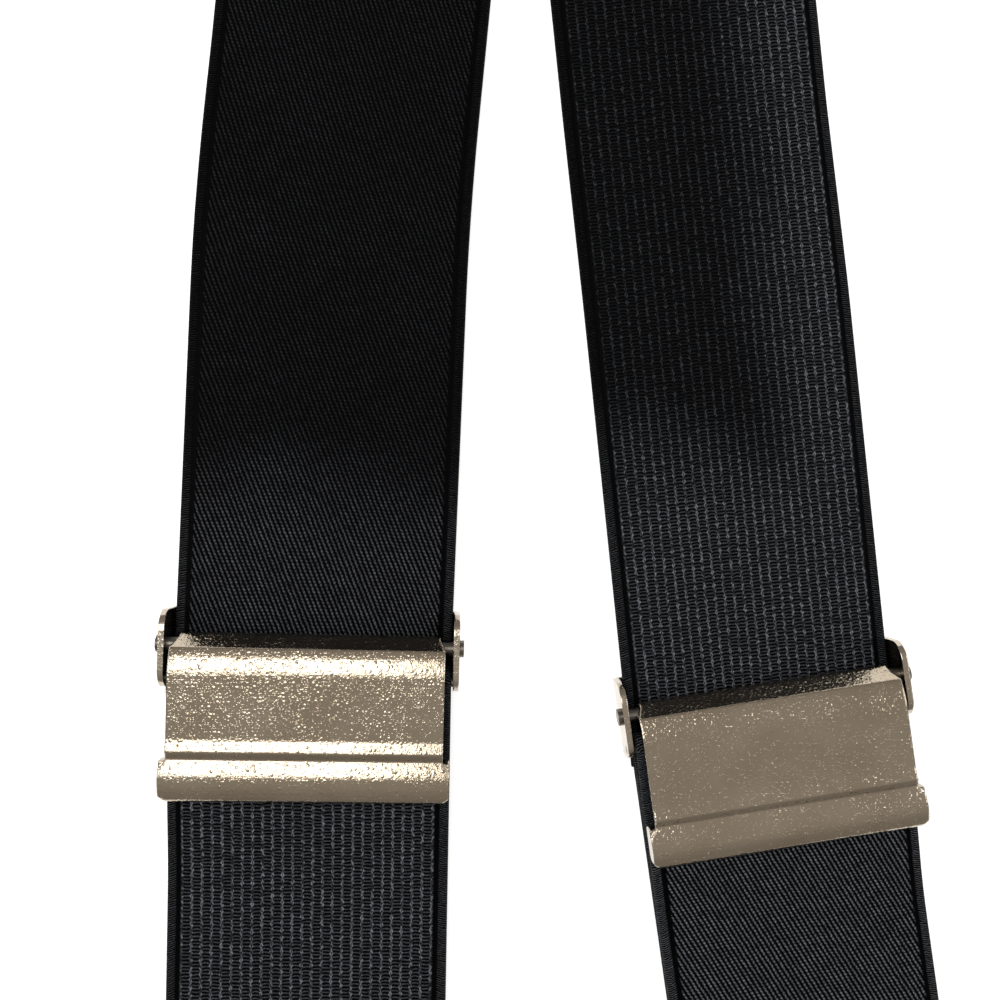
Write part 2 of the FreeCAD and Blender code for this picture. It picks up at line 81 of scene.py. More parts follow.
# the bars of the clips, and the strap's turn round them
CLIP_BAR = 2.75
LOOP = 1.7
UNDER = CLIP_BAR - LOOP
OVER = CLIP_BAR + LOOP
FRONT_BAR = -120.0
RUN_END = FRONT_BAR + 3.0
BACK_SPAN = 300.0

# the adjuster's fixed bar, which holds the end of the return run
RETURN_BAR = -4.6
BAR_LEVEL = 4.85
BAR_RADIUS = 0.6
BAR_GAP = 0.25
RETURN_BLEND = -26.0

# where the long strap ends under the adjuster, and where the lower run takes over
STRAP_FOOT = -7.0
RUN_TOP = -8.0
# how far the long strap runs on into the lower run, so that no gap opens where a slid adjuster uncovers it
STRAP_LAP = 1.5
# the weave's own measure at the lower run's top
LOOP_START = -270.0

# the yarn's black, and the colour of the painted highlights on its threads
WEB_BLACK = (0.0012, 0.0012, 0.0014)
WEB_GLINT = (0.184, 0.199, 0.226)


# ------------------------------------------------------------------ node arithmetic
class Field:
    """A number worked out at each point of a surface. Arithmetic on it adds Math nodes."""

    def __init__(self, tree, socket):
        self.tree = tree
        self.socket = socket

    def math(self, operation, *others, clamp=False):
        node = self.tree.nodes.new("ShaderNodeMath")
        node.operation = operation
        node.use_clamp = clamp
        for slot, value in zip(node.inputs, (self,) + others):
            if isinstance(value, Field):
                self.tree.links.new(value.socket, slot)
            else:
                slot.default_value = value
        return Field(self.tree, node.outputs[0])

    def __add__(self, other):
        return self.math("ADD", other)

    def __sub__(self, other):
        return self.math("SUBTRACT", other)

    def __mul__(self, other):
        return self.math("MULTIPLY", other)

    def __truediv__(self, other):
        return self.math("DIVIDE", other)

    def floor(self):
        return self.math("FLOOR")

    def fraction(self):
        return self.math("FRACT")

    def size(self):
        return self.math("ABSOLUTE")

    def most(self, other):
        return self.math("MAXIMUM", other)

    def flipped(self):
        """One minus this."""
        return self * -1.0 + 1.0

    def wave(self):
        """0 to 1 and back once for each whole unit, 1 at whole numbers."""
        return (self * (2 * math.pi)).math("COSINE") * 0.5 + 0.5

    def rise(self, low, high):
        """Smoothly from 0 below low to 1 above high."""
        node = self.tree.nodes.new("ShaderNodeMapRange")
        node.interpolation_type = "SMOOTHSTEP"
        node.inputs["From Min"].default_value = low
        node.inputs["From Max"].default_value = high
        self.tree.links.new(self.socket, node.inputs["Value"])
        return Field(self.tree, node.outputs[0])

    def random(self):
        """A fixed random number from 0 to 1 for each whole value."""
        node = self.tree.nodes.new("ShaderNodeTexWhiteNoise")
        node.noise_dimensions = "1D"
        self.tree.links.new(self.socket, node.inputs["W"])
        return Field(self.tree, node.outputs["Value"])


def noise(tree, vector, scale, detail=2.0, roughness=0.5):
    node = tree.nodes.new("ShaderNodeTexNoise")
    node.inputs["Scale"].default_value = scale
    node.inputs["Detail"].default_value = detail
    node.inputs["Roughness"].default_value = roughness
    tree.links.new(vector, node.inputs["Vector"])
    return Field(tree, node.outputs["Fac"])


def ramp(tree, factor, dark, light):
    """A colour between two, by a field from 0 to 1."""
    node = tree.nodes.new("ShaderNodeMix")
    node.data_type = "RGBA"
    node.inputs["A"].default_value = (*dark, 1)
    node.inputs["B"].default_value = (*light, 1)
    tree.links.new(factor.socket, node.inputs["Factor"])
    return node.outputs["Result"]


def bump(tree, height, depth, normal=None):
    """A bump of the given depth in metres."""
    node = tree.nodes.new("ShaderNodeBump")
    node.inputs["Distance"].default_value = depth
    tree.links.new(height.socket, node.inputs["Height"])
    if normal is not None:
        tree.links.new(normal, node.inputs["Normal"])
    return node.outputs["Normal"]


def new_material(name, **sockets):
    made = bpy.data.materials.new(name)
    made.use_nodes = True
    shader = made.node_tree.nodes["Principled BSDF"]
    for socket, value in sockets.items():
        shader.inputs[socket.replace("_", " ")].default_value = value
    return made, made.node_tree, shader


def placed(name, data):
    """A new object in the scene."""
    made = bpy.data.objects.new(name, data)
    bpy.context.scene.collection.objects.link(made)
    return made


def smooth_mesh(name, verts, faces, *materials):
    mesh = bpy.data.meshes.new(name)
    mesh.from_pydata(verts, [], faces)
    mesh.polygons.foreach_set("use_smooth", [True] * len(faces))
    for material in materials:
        mesh.materials.append(material)
    return mesh


def strap_coordinates(tree):
    """Millimetres across the strap from its middle, millimetres along it, and both as one vector."""
    layer = tree.nodes.new("ShaderNodeUVMap")
    layer.uv_map = "weave"
    split = tree.nodes.new("ShaderNodeSeparateXYZ")
    tree.links.new(layer.outputs["UV"], split.inputs[0])
    return Field(tree, split.outputs["X"]), Field(tree, split.outputs["Y"]), layer.outputs["UV"]


def solid_coordinates(tree):
    """Object coordinates in millimetres."""
    place = tree.nodes.new("ShaderNodeTexCoord")
    scale = tree.nodes.new("ShaderNodeVectorMath")
    scale.operation = "SCALE"
    scale.inputs["Scale"].default_value = 1 / MM
    tree.links.new(place.outputs["Object"], scale.inputs[0])
    return scale.outputs[0]


def edge_masks(across):
    """Where the twisted selvage cord lies, and the dark groove inside it."""
    edge = across.size()
    cord_at = HALF - SELVAGE
    groove_at = cord_at - GROOVE
    cord = edge.rise(cord_at - 0.12, cord_at + 0.12)
    groove_in = edge.rise(groove_at - 0.15, groove_at + 0.15)
    return cord, groove_in * cord.flipped()


def webbing(name, pattern, shade_from, shade_side, loop_painted_light):
    """Black elastic webbing. The pattern gives the threads' painted highlights and their height between the
    selvages.

    The two arguments after the pattern place the painted shade that dims the threads above the adjuster, on
    one side or all across, and the last argument is the painted light that brightens the loop below it."""
    made, tree, shader = new_material(name, Roughness=0.5, Specular_IOR_Level=0.018)
    across, along, place = strap_coordinates(tree)
    light, height = pattern(tree, across, along, place)
    cord, groove = edge_masks(across)
    field = (cord + groove).flipped()
    side = across.math("SIGN")
    fine = noise(tree, place, 5.0, 3.0, 0.7)
    patchy = noise(tree, place, 1.1, 2.0, 0.6)
    twist = (along * 3.3 + across * side * 0.8 + patchy * 1.7).wave()
    # glint is painted highlight: the threads' sheen, put into the colour of the black yarn
    glint = light * field + twist.rise(0.3, 0.95) * 0.24 * cord
    glint = glint * (fine.rise(0.3, 0.72) + 0.4) * (patchy.rise(0.3, 0.75) * 0.5 + 0.7)
    # painted shade dims the threads above the adjuster, and painted light brightens them on the loop below it
    glint = glint * strap_painted_shade(tree, across, along, place, shade_from, shade_side) \
        * ((along * -1.0).rise(0.0, 20.0) * loop_painted_light + 1.0)
    tree.links.new(ramp(tree, glint, WEB_BLACK, WEB_GLINT), shader.inputs["Base Color"])
    relief = height * field + twist * cord * 0.7 + fine * 0.2
    tree.links.new(bump(tree, relief, 0.15 * MM), shader.inputs["Normal"])
    return made


def strap_painted_shade(tree, across, along, place, shade_from, shade_side):
    """How bright the threads' painted highlights are: painted shade dims them beyond the adjuster, on one
    side or all across, and eases off further along.
    """
    cloud = noise(tree, place, 0.035, 2.0, 0.5)
    reach = along + (cloud - 0.5) * 30.0
    shaded = reach.rise(shade_from, shade_from + 22.0)
    shaded = shaded * (across * shade_side + (cloud - 0.5) * 1.6).rise(-1.7, 0.1)
    shade_eased = reach.rise(130.0, 230.0)
    return shaded * -0.8 + shaded * shade_eased * 0.5 + 1.0


def waffle(tree, across, along, place):
    """The ribbed back: arched rungs in columns, linked by threads that climb in a zigzag between them."""
    column = across / RIB_PITCH + 0.5
    offset = column.floor().random()
    waver = noise(tree, place, 0.9, 2.0, 0.6)
    spot = noise(tree, place, 1.7, 1.0, 0.5)
    inside = (column + waver * 0.1).fraction() - 0.5
    arch = inside * inside * (column.floor() + 7.3).random() * 1.6
    pick = along / PICK + offset + waver * 0.7
    rung = (pick + arch).wave().rise(0.3, 0.95) * (inside.size().rise(0.34, 0.47) * -0.5 + 1.0)
    sway = ((pick * 0.5).fraction() - 0.5).size() * 0.34 - 0.08
    thread = (inside.size() + sway - 0.46).size().rise(0.03, 0.13).flipped()
    bead = pick.wave() * 0.4 + 0.6
    light = (rung * 0.25).most(thread * bead * (spot.rise(0.35, 0.66) * 1.05 + 0.15))
    height = (rung * 0.6).most(thread * 0.95)
    return light, height


def twill(tree, across, along, place):
    """The face: steep twill lines made of short warp floats, one to each pick."""
    waver = noise(tree, place, 0.8, 2.0, 0.6)
    line = across * 1.47 + along * 0.656 + waver * 0.35
    ridge = line.wave()
    pick = along / PICK + line.floor().random() * 0.6
    row = pick.wave()
    float_tone = (pick.floor() + line.floor() * 31.0).random() * 0.7 + 0.62
    light = ridge.rise(0.35, 0.98) * (row.rise(0.1, 0.75) * 0.7 + 0.25) * float_tone * 0.5
    height = ridge * 0.7 + row * 0.4
    return light, height


def thread_material():
    made, tree, shader = new_material("thread", Roughness=0.5, Sheen_Weight=0.3)
    place = solid_coordinates(tree)
    fibre = noise(tree, place, 6.0, 3.0, 0.6)
    tree.links.new(ramp(tree, fibre.rise(0.35, 0.7), (0.006, 0.006, 0.007), (0.07, 0.07, 0.075)),
                   shader.inputs["Base Color"])
    tree.links.new(bump(tree, fibre, 0.08 * MM), shader.inputs["Normal"])
    return made


def flecks(tree, vector, scale):
    """Small raised domes, one to a cell: most of them low and a few tall."""
    node = tree.nodes.new("ShaderNodeTexVoronoi")
    node.inputs["Scale"].default_value = scale
    tree.links.new(vector, node.inputs["Vector"])
    tall = Field(tree, node.outputs["Color"]).rise(0.3, 0.8)
    return Field(tree, node.outputs["Distance"]).rise(0.0, 0.62).flipped() * tall


def edge_polish_and_highlight(tree, rounded):
    """1 where the rounded normal leaves the true one: along edges, lighter for polish from use and for a
    painted highlight.
    """
    true = tree.nodes.new("ShaderNodeNewGeometry")
    agree = tree.nodes.new("ShaderNodeVectorMath")
    agree.operation = "DOT_PRODUCT"
    tree.links.new(true.outputs["Normal"], agree.inputs[0])
    tree.links.new(rounded, agree.inputs[1])
    return Field(tree, agree.outputs["Value"]).flipped().rise(0.01, 0.2)


def plated_metal(name, edge_radius, dark, light, rough, speckle):
    """Plated steel: softly rounded edges, lightened for polish from use and as a painted highlight, orange
    peel, raised specks and fine grain.
    """
    made, tree, shader = new_material(name, Metallic=1.0)
    place = solid_coordinates(tree)
    edge = tree.nodes.new("ShaderNodeBevel")
    edge.samples = 8
    edge.inputs["Radius"].default_value = edge_radius * MM
    peel = noise(tree, place, 1.5, 2.0, 0.5)
    clusters = noise(tree, place, 0.16, 2.0, 0.6).rise(0.38, 0.62) * 0.35 + 0.65
    specks = (flecks(tree, place, 2.0) + flecks(tree, place, 4.2) * 0.6) * clusters
    grain = noise(tree, place, 6.5, 2.0, 0.6)
    haze = noise(tree, place, 0.12, 2.0, 0.5)
    tone = haze.rise(0.3, 0.7) * 0.2 + edge_polish_and_highlight(tree, edge.outputs[0]) * 0.6 + 0.08
    tree.links.new(ramp(tree, tone, dark, light), shader.inputs["Base Color"])
    tree.links.new((grain * 0.06 + haze * 0.03 + rough).socket, shader.inputs["Roughness"])
    relief = peel * 0.22 + specks * speckle + grain * 0.1
    tree.links.new(bump(tree, relief, 0.055 * MM, normal=edge.outputs[0]), shader.inputs["Normal"])
    return made


def plastic_material():
    made, tree, shader = new_material("pad_plastic", Roughness=0.55)
    place = solid_coordinates(tree)
    grain = noise(tree, place, 4.0, 3.0, 0.6)
    tree.links.new(ramp(tree, grain, (0.012, 0.012, 0.013), (0.03, 0.03, 0.032)), shader.inputs["Base Color"])
    tree.links.new(bump(tree, grain, 0.04 * MM), shader.inputs["Normal"])
    return made


def leather_material():
    made, tree, shader = new_material("leather", Roughness=0.5, Specular_IOR_Level=0.45)
    place = solid_coordinates(tree)
    cells = tree.nodes.new("ShaderNodeTexVoronoi")
    cells.feature = "DISTANCE_TO_EDGE"
    cells.inputs["Scale"].default_value = 0.95
    warp = noise(tree, place, 0.5, 2.0, 0.5)
    tree.links.new(place, cells.inputs["Vector"])
    crease = Field(tree, cells.outputs["Distance"]).rise(0.0, 0.16)
    fine = noise(tree, place, 3.5, 3.0, 0.65)
    tone = crease * 0.5 + fine * 0.3 + warp * 0.2
    tree.links.new(ramp(tree, tone, (0.006, 0.0055, 0.005), (0.034, 0.030, 0.027)),
                   shader.inputs["Base Color"])
    tree.links.new((fine * 0.25 + crease.flipped() * 0.2 + 0.34).socket, shader.inputs["Roughness"])
    tree.links.new(bump(tree, crease * 0.8 + fine * 0.3, 0.14 * MM), shader.inputs["Normal"])
    return made


# the last three numbers set each weave's painted shade above the adjuster and painted light on the loop
TWILL = webbing("webbing_twill", twill, 17.0, 0.0, 0.75)
WAFFLE = webbing("webbing_waffle", waffle, 30.0, -0.1, 0.1)
THREAD = thread_material()
NICKEL = plated_metal("nickel", 0.22, (0.46, 0.40, 0.325), (0.70, 0.65, 0.57), 0.1, 0.3)
NICKEL_PRESSED = plated_metal("nickel_pressed", 0.4, (0.42, 0.355, 0.27), (0.64, 0.585, 0.50), 0.07, 0.72)
# nickel darkened to paint the shade that falls on the pin shafts between the ears and the lever; the return
# bars take it too
PAINTED_SHADE_NICKEL = plated_metal("painted_shade_nickel", 0.15, (0.13, 0.12, 0.105), (0.34, 0.32, 0.29), 0.28, 0.3)
PLASTIC = plastic_material()
LEATHER = leather_material()


# ------------------------------------------------------------------ where the straps run
class StrapRoute:
    """A strap's centreline in plan, in millimetres. s grows from the adjuster's pivot to the rear."""

    def __init__(self, x, y, heading, runs):
        self.pieces = []
        distance = 0.0
        for length, turn in runs:
            self.pieces.append((distance, x, y, heading, math.radians(turn) / length))
            x, y, heading = self.step(self.pieces[-1], length)
            distance += length
        self.pieces.append((distance, x, y, heading, 0.0))

    @staticmethod
    def step(piece, travelled):
        _, x, y, heading, bend = piece
        start = math.radians(heading)
        if abs(bend) < 1e-9:
            return x + travelled * math.sin(start), y + travelled * math.cos(start), heading
        turned = start + bend * travelled
        x += (math.cos(start) - math.cos(turned)) / bend
        y += (math.sin(turned) - math.sin(start)) / bend
        return x, y, math.degrees(turned)

    def at(self, s):
        piece = [p for p in self.pieces if p[0] <= s or p is self.pieces[0]][-1]
        return self.step(piece, s - piece[0])

    def axes(self, s):
        """The point on the floor at s, the way along the strap and the way across it."""
        x, y, heading = self.at(s)
        turn = math.radians(heading)
        return Vector((x, y, 0)), Vector((math.sin(turn), math.cos(turn), 0)), \
            Vector((math.cos(turn), -math.sin(turn), 0))


# the plan of each strap beyond the pivot, as lengths in millimetres and turns in degrees
RUNS = {
    "left": [(47, 0), (28, 3.2), (30, 0), (70, -6.4), (90, 0), (150, 16.8)],
    "right": [(105, 0), (70, 6.8), (97, 0), (150, -16.8)],
}


def heading_of(axis):
    return math.degrees(math.atan2(axis[0], axis[1]))


def routes(side):
    """The strap's own route, and the straight route of the doubled loop below the adjuster."""
    pivot = Vector(joints["adjuster_lever_%s_hinge" % side]["pos_m"]) / MM
    upper = heading_of(joints["adjuster_%s_slide" % side]["axis"])
    lower = heading_of(joints["front_turn_%s_slide" % side]["axis"])
    return StrapRoute(pivot.x, pivot.y, upper, RUNS[side]), StrapRoute(pivot.x, pivot.y, lower, [])


# cross_at is how far along it each strap passes the crossing, which is at the origin
route, loop_route, cross_at = {}, {}, {}
for side in SIDES:
    route[side], loop_route[side] = routes(side)
    start, x, y, *_ = route[side].pieces[-1]
    cross_at[side] = start + math.hypot(x, y)


# ------------------------------------------------------------------ woven straps
def cross_section(ribbed_top):
    """The strap's outline as (across, up, face) points: over the top, face 0, then back below, face 1."""
    edge = HALF - SELVAGE - GROOVE
    count = int(round(2 * edge / RIB_PITCH))
    per_rib = 4
    half_thick = THICK / 2

    def face(ribbed):
        border = [(-HALF, 0.0)]
        for angle in (35, 62, 90):
            turn = math.radians(angle)
            inwards = SELVAGE / 2 * (1 - math.cos(turn))
            border.append((-HALF + inwards, (half_thick - 0.05) * math.sin(turn)))
        border.append((-HALF + SELVAGE * 0.95, half_thick - 0.22))
        border.append((-HALF + SELVAGE + GROOVE / 2, half_thick - GROOVE_DEPTH))
        depth = RIB_DEPTH if ribbed else TWILL_DEPTH
        middle = []
        for i in range(count * per_rib + 1):
            x = -edge + 2 * edge * i / (count * per_rib)
            middle.append((x, half_thick - depth + depth * abs(math.cos(math.pi * x / RIB_PITCH))))
        return border + middle + [(-x, z) for x, z in reversed(border[1:])]

    top = [(x, z, 0) for x, z in face(ribbed_top)]
    bottom = [(-x, -z, 1) for x, z in face(not ribbed_top)]
    return top + [(HALF, 0.0, 1)] + bottom[1:]


def resampled(profile, spacing):
    """The profile with points put in, no further apart than the spacing."""
    stations = [profile[0]]
    for start, end in zip(profile, profile[1:]):
        steps = max(1, math.ceil(math.dist(start, end) / spacing))
        stations += [tuple(a + (b - a) * i / steps for a, b in zip(start, end)) for i in range(1, steps + 1)]
    return stations


def eased(stations, passes):
    """Softens the corners of a profile, keeping its ends."""
    for _ in range(passes):
        inner = [tuple((a + 2 * b + c) / 4 for a, b, c in zip(*three))
                 for three in zip(stations, stations[1:], stations[2:])]
        stations = [stations[0]] + inner + [stations[-1]]
    return stations


def strap(name, path, profile, twill_up, start_along, spacing=3.0, passes=3):
    """A woven strap along a plan route and a profile of (s, z) points, with its length.

    start_along is where its weave begins."""
    stations = eased(resampled(profile, spacing), passes)
    outline = cross_section(not twill_up)
    verts, faces, slots, uvs = [], [], [], []
    travelled = [start_along]
    for before, after in zip(stations, stations[1:]):
        travelled.append(travelled[-1] + math.dist(before, after))
    for i, (s, z) in enumerate(stations):
        before = stations[max(i - 1, 0)]
        after = stations[min(i + 1, len(stations) - 1)]
        slope = Vector((after[0] - before[0], after[1] - before[1])).normalized()
        floor_point, along, across = path.axes(s)
        up = Vector((0, 0, slope.x)) - along * slope.y
        for x, height, _ in outline:
            point = floor_point + Vector((0, 0, z)) + across * x + up * height
            verts.append(point * MM)
    ring = len(outline)
    top_slot, under_slot = (0, 1) if twill_up else (1, 0)
    for i in range(len(stations) - 1):
        for j in range(ring):
            k = (j + 1) % ring
            faces.append((i * ring + j, i * ring + k, (i + 1) * ring + k, (i + 1) * ring + j))
            slots.append(under_slot if outline[j][2] else top_slot)
            uvs += [(outline[j][0], travelled[i]), (outline[k][0], travelled[i]),
                    (outline[k][0], travelled[i + 1]), (outline[j][0], travelled[i + 1])]
    # each end is closed by faces that join the outline's top to its underside
    for i, flip in ((0, True), (len(stations) - 1, False)):
        for j in range(ring // 2):
            a, b = i * ring + j, i * ring + (j + 1) % ring
            c, d = i * ring + (ring - j - 1) % ring, i * ring + (ring - j) % ring
            corner = (a, b, c) if d == a else (a, b, c, d)
            if b == c:
                corner = (a, b, d)
            if flip:
                corner = tuple(reversed(corner))
            faces.append(corner)
            slots.append(top_slot)
            uvs += [(outline[n % ring][0], travelled[i]) for n in corner]
    mesh = smooth_mesh(name, verts, faces, TWILL, WAFFLE)
    layer = mesh.uv_layers.new(name="weave")
    layer.data.foreach_set("uv", [n for uv in uvs for n in uv])
    mesh.polygons.foreach_set("material_index", slots)
    mesh.validate()
    mesh.update()
    made = placed(name, mesh)
    return made, travelled[-1] - start_along


def bend_stations(s, z, radius, start, sweep):
    """Profile points on an arc about (s, z), from a start angle through a sweep, both in degrees."""
    steps = 14
    angles = [math.radians(start + sweep * i / steps) for i in range(steps + 1)]
    return [(s + radius * math.cos(a), z + radius * math.sin(a)) for a in angles]


def declare(length):
    length * MM


def main_strap(side):
    """The long strap from under the adjuster, across the back, to its sewn fold round the rear clip."""
    middle = cross_at[side]
    bar = middle + BACK_SPAN
    low = FLAT_LEVEL - SAG
    crest = RAISED_LEVEL - 0.6
    sewn = UNDER + THICK + 0.15
    profile = [(STRAP_FOOT - STRAP_LAP, FLAT_LEVEL), (56, FLAT_LEVEL), (82, low)]
    if side == "left":
        # climbs over the other strap
        profile += [(middle - 225, low), (middle - 178, crest), (middle - 34, RAISED_LEVEL),
                    (middle + 34, RAISED_LEVEL), (middle + 80, crest), (middle + 128, low)]
    else:
        # lies on the bottom leather
        profile += [(middle - 62, low), (middle - 40, FLAT_LEVEL), (middle + 40, FLAT_LEVEL),
                    (middle + 62, low)]
    profile += [(bar - 56, low), (bar - 40, sewn), (bar - 12, sewn), (bar - 4, OVER)]
    bend = bend_stations(bar, CLIP_BAR, LOOP, 90, -180)
    tail = [(bar - 6, UNDER), (bar - 32, UNDER)]
    made, length = strap("strap_%s_webbing" % side, route[side], profile + bend + tail, side == "left",
                         -STRAP_LAP, passes=1)
    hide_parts("strap_" + side)
    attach(made, "webbing")
    declare(length)


def front_loop(side):
    """The doubled strap below the adjuster: the run behind, the turn in the clip and the return in front."""
    path = loop_route[side]
    twill_up = side == "left"
    low, low_length = strap("lower_run_%s_webbing" % side, path,
                            [(RUN_TOP, FLAT_LEVEL), (FRONT_BAR + 28, FLAT_LEVEL), (RUN_END + 4, UNDER),
                             (RUN_END, UNDER)], twill_up, LOOP_START)
    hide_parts("lower_run_" + side)
    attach(low, "webbing")
    top = path.axes(RUN_TOP)[0] + Vector((0, 0, FLAT_LEVEL))
    bottom = path.axes(RUN_END)[0] + Vector((0, 0, FLAT_LEVEL))
    slide = joints["adjuster_%s_slide" % side]
    turn_slide = joints["front_turn_%s_slide" % side]
    # the turn goes with the adjuster and comes back half as far along the loop, so it drifts sideways
    drift = (Vector(slide["axis"]) - Vector(turn_slide["axis"]) * 0.5) * (slide["range_m"][1] / MM)
    way = drift.normalized()
    1 - drift.length / (top - bottom).dot(way)
    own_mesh(low)
    declare(low_length)

    turn, turn_length = strap("clip_turn_%s_webbing" % side, path,
                              [(RUN_END, UNDER)] + bend_stations(FRONT_BAR, CLIP_BAR, LOOP, -90, -180)
                              + [(RUN_END, OVER)], twill_up, LOOP_START + low_length, spacing=1.0,
                              passes=0)
    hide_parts("clip_turn_" + side)
    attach(turn, "front_turn_" + side)
    declare(turn_length)

    outer = RAISED_LEVEL + THICK + 0.1
    around = BAR_RADIUS + BAR_GAP + THICK / 2
    profile = [(RUN_END, OVER), (RUN_END + 4, OVER), (FRONT_BAR + 28, RAISED_LEVEL), (-30, RAISED_LEVEL),
               (-20, outer - 0.1), (-9.5, outer), (-7, BAR_LEVEL + around - 0.35)]
    profile = eased(resampled(profile, 3.0), 3)
    profile += bend_stations(RETURN_BAR, BAR_LEVEL, around, 90, -180)
    profile += [(-7.5, RAISED_LEVEL), (-17, RAISED_LEVEL)]
    back, back_length = strap("return_run_%s_webbing" % side, path, profile, not twill_up,
                              LOOP_START + low_length + turn_length, passes=0)
    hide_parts("return_run_" + side)
    near = path.axes(RETURN_BLEND)[0] + Vector((0, 0, RAISED_LEVEL))
    far = path.axes(RUN_END)[0] + Vector((0, 0, RAISED_LEVEL))
    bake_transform(back)
    declare(back_length)


for side in SIDES:
    main_strap(side)
    front_loop(side)


# ------------------------------------------------------------------ leather patch where the straps cross
PATCH_HALF = (31.0, 37.0)
PATCH_SHOULDER = 17.0
PATCH_SHARPNESS = 26
LEATHER_THICK = 1.1
STRAP_BEARING = {"left": 16.0, "right": -16.0}
SURFACE_GAP = 0.1
SEAM_INSET = 3.4
STITCH_PITCH = 3.1
THREAD_RADIUS = 0.3


def patch_reach(angle, inset):
    """How far the patch's rounded hexagon reaches from its centre in a direction."""
    wide, tall = PATCH_HALF
    slant = math.atan2(wide, tall - PATCH_SHOULDER)
    slant_distance = tall * math.sin(slant)
    total = 0.0
    for facing, distance in ((0.0, wide), (math.pi, wide)) + tuple(
            (math.atan2(sy * math.sin(slant), sx * math.cos(slant)), slant_distance)
            for sx in (-1, 1) for sy in (-1, 1)):
        towards = math.cos(angle - facing)
        if towards > 0:
            total += (towards / (distance - inset)) ** PATCH_SHARPNESS
    return total ** (-1 / PATCH_SHARPNESS)


def covered(x, y, side, slack):
    """1 over a strap, easing to 0 where the slack has run out beside it."""
    bearing = math.radians(STRAP_BEARING[side])
    outside = abs(x * math.cos(bearing) - y * math.sin(bearing)) - HALF
    share = min(max(1 - outside / slack, 0.0), 1.0)
    return share * share * (3 - 2 * share)


def draped(x, y):
    """The underside of the top leather: over the straps, down onto the bottom leather beside them."""
    rest = LEATHER_THICK + 0.05
    over_left = rest + (RAISED_LEVEL + THICK / 2 + SURFACE_GAP - rest) * covered(x, y, "left", 7.0)
    over_right = rest + (FLAT_LEVEL + THICK / 2 + SURFACE_GAP - rest) * covered(x, y, "right", 5.0)
    return max(over_left, over_right)


def leather_piece(name, underside, node):
    """A cut leather panel with soft edges, made of rings about its centre."""
    spokes, rings = 144, 30
    round_off = 0.35
    verts, faces = [], []

    def ring(share, inset, height):
        for i in range(spokes):
            angle = 2 * math.pi * i / spokes
            reach = patch_reach(angle, inset) * share
            x, y = reach * math.cos(angle), reach * math.sin(angle)
            verts.append((x * MM, y * MM, (underside(x, y) + height) * MM))

    top = LEATHER_THICK
    verts.append((0, 0, (underside(0, 0) + top) * MM))
    for k in range(1, rings + 1):
        ring(k / rings, round_off, top)
    for turn in (35, 70, 90):
        angle = math.radians(turn)
        ring(1.0, round_off * (1 - math.sin(angle)), top - round_off * (1 - math.cos(angle)))
    ring(1.0, 0.0, round_off)
    for turn in (45, 90):
        angle = math.radians(turn)
        ring(1.0, round_off * (1 - math.cos(angle)), round_off * (1 - math.sin(angle)))
    for k in range(rings - 1, 0, -1):
        ring(k / rings, round_off, 0.0)
    verts.append((0, 0, underside(0, 0) * MM))
    last = len(verts) - 1
    count = (last - 1) // spokes
    for i in range(spokes):
        k = (i + 1) % spokes
        faces.append((0, 1 + i, 1 + k))
        faces.append((last, 1 + (count - 1) * spokes + k, 1 + (count - 1) * spokes + i))
        for r in range(count - 1):
            a = 1 + r * spokes
            faces.append((a + i, a + spokes + i, a + spokes + k, a + k))
    made = placed(name, smooth_mesh(name, verts, faces, LEATHER))
    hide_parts(node)
    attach(made, "webbing")
    return made


def seam(name, node, spots):
    """Thread stitches lying on a surface. Each spot is two end points in millimetres."""
    verts, faces = [], []
    sides = 8
    # how far along the stitch, how fat, and how high
    stations = ((0.0, 0.35, -0.3), (0.1, 0.8, -0.05), (0.3, 1.0, 0.05), (0.7, 1.0, 0.05),
                (0.9, 0.8, -0.05), (1.0, 0.35, -0.3))
    for start, end in spots:
        along = (end - start).normalized()
        beside = along.cross(Vector((0, 0, 1))).normalized()
        up = beside.cross(along)
        base = len(verts)
        for share, fat, lift in stations:
            middle = start.lerp(end, share) + up * lift
            for k in range(sides):
                turn = 2 * math.pi * k / sides
                point = middle + (beside * math.cos(turn) + up * math.sin(turn)) * THREAD_RADIUS * fat
                verts.append(point * MM)
        for r in range(len(stations) - 1):
            for k in range(sides):
                a, b = base + r * sides + k, base + r * sides + (k + 1) % sides
                faces.append((a, b, b + sides, a + sides))
        faces.append(tuple(base + k for k in reversed(range(sides))))
        faces.append(tuple(base + (len(stations) - 1) * sides + k for k in range(sides)))
    made = placed(name, smooth_mesh(name, verts, faces, THREAD))
    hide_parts(node)
    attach(made, "webbing")


def patch():
    """The two leathers with the straps between them, and the seam round their edge."""
    lower = leather_piece("patch_bottom_leather", lambda x, y: 0.0, "patch_bottom")
    upper = leather_piece("patch_top_leather", draped, "patch_top")
    steps = 720
    line = []
    for i in range(steps + 1):
        angle = 2 * math.pi * i / steps
        reach = patch_reach(angle, SEAM_INSET)
        x, y = reach * math.cos(angle), reach * math.sin(angle)
        line.append(Vector((x, y, draped(x, y) + LEATHER_THICK + SURFACE_GAP)))
    length = sum((b - a).length for a, b in zip(line, line[1:]))
    pitch = length / round(length / STITCH_PITCH)
    # a stitch starts in the first half of its pitch, and ends at seven tenths of it
    spots, travelled, start = [], 0.0, None
    for a, b in zip(line, line[1:]):
        travelled += (b - a).length
        phase = travelled % pitch
        if start is None and phase < pitch * 0.5:
            start = b
        elif start is not None and phase > pitch * 0.7:
            spots.append((start, b))
            start = None
    seam("patch_seam", "patch_stitching", spots)


patch()


# ------------------------------------------------------------------ metal, pads and thread
def clothe(names, material):
    """Gives CAD nodes a material."""
    for name in names:
        node = frame["nodes"][name]
        node.data.materials.clear()
        node.data.materials.append(material)


